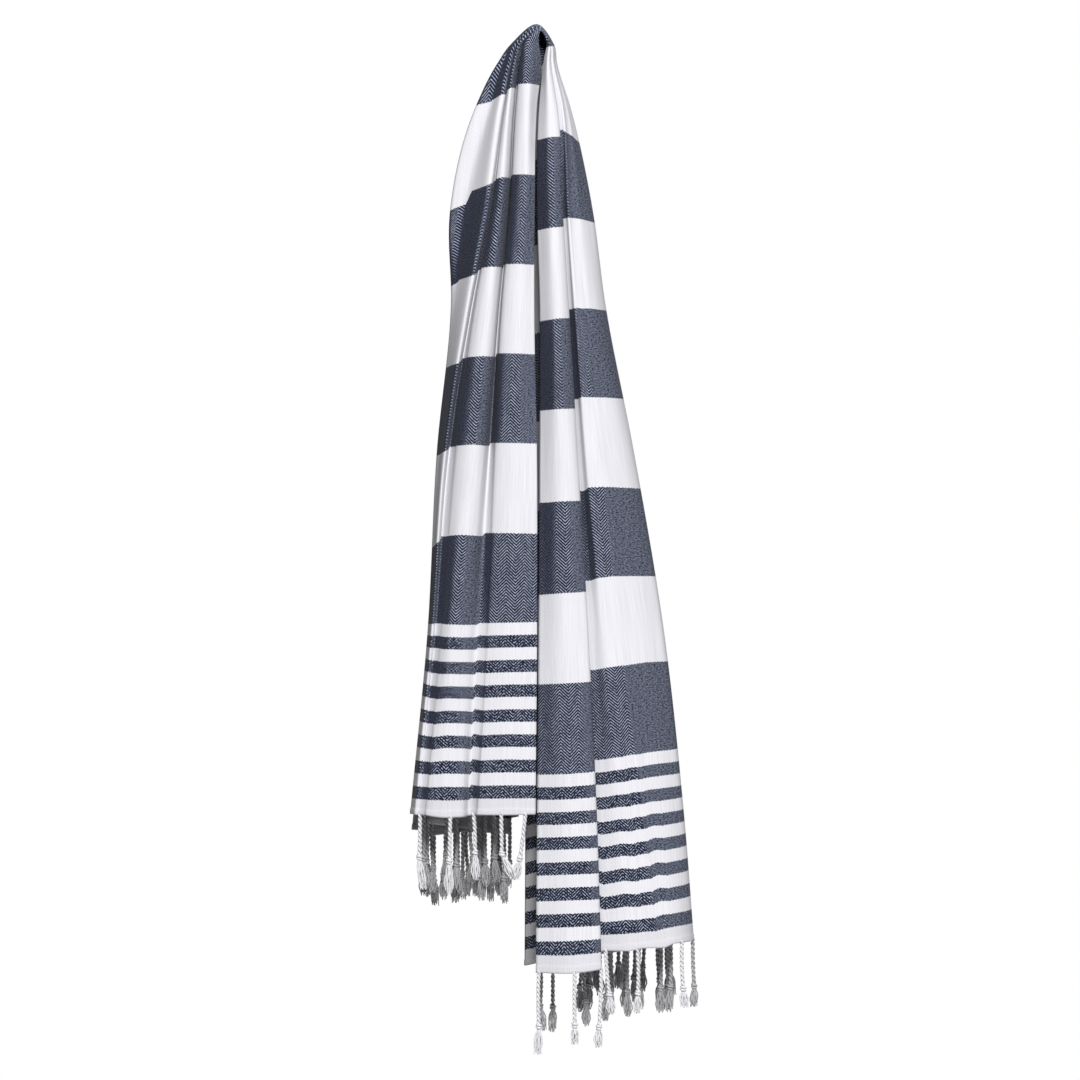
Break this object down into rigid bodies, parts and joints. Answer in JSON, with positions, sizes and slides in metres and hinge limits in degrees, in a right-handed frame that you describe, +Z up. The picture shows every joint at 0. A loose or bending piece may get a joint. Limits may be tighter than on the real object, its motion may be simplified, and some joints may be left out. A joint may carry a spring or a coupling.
{
  "type": "hanging hammam towel",
  "caption": "Striped flat-woven cotton bath towel with knotted fringes, folded lengthwise and hung near its middle from a wall peg, which is not part of it.",
  "frame": {"origin": "the hang point, at the top of the gap that the cloth leaves for a peg", "axes": "+X to the right as seen from the room, +Y towards the wall, +Z up"},
  "size_m": [0.2744, 0.091, 0.98],
  "materials": {
    "woven_cotton": "matt herringbone weave in navy and white stripes",
    "fringe_yarn": "matt twisted cotton yarn"
  },
  "bodies": {
    "root": {"cloth": "woven_cotton", "fringe_short_end": "fringe_yarn", "fringe_long_end": "fringe_yarn"}
  },
  "joints": []
}
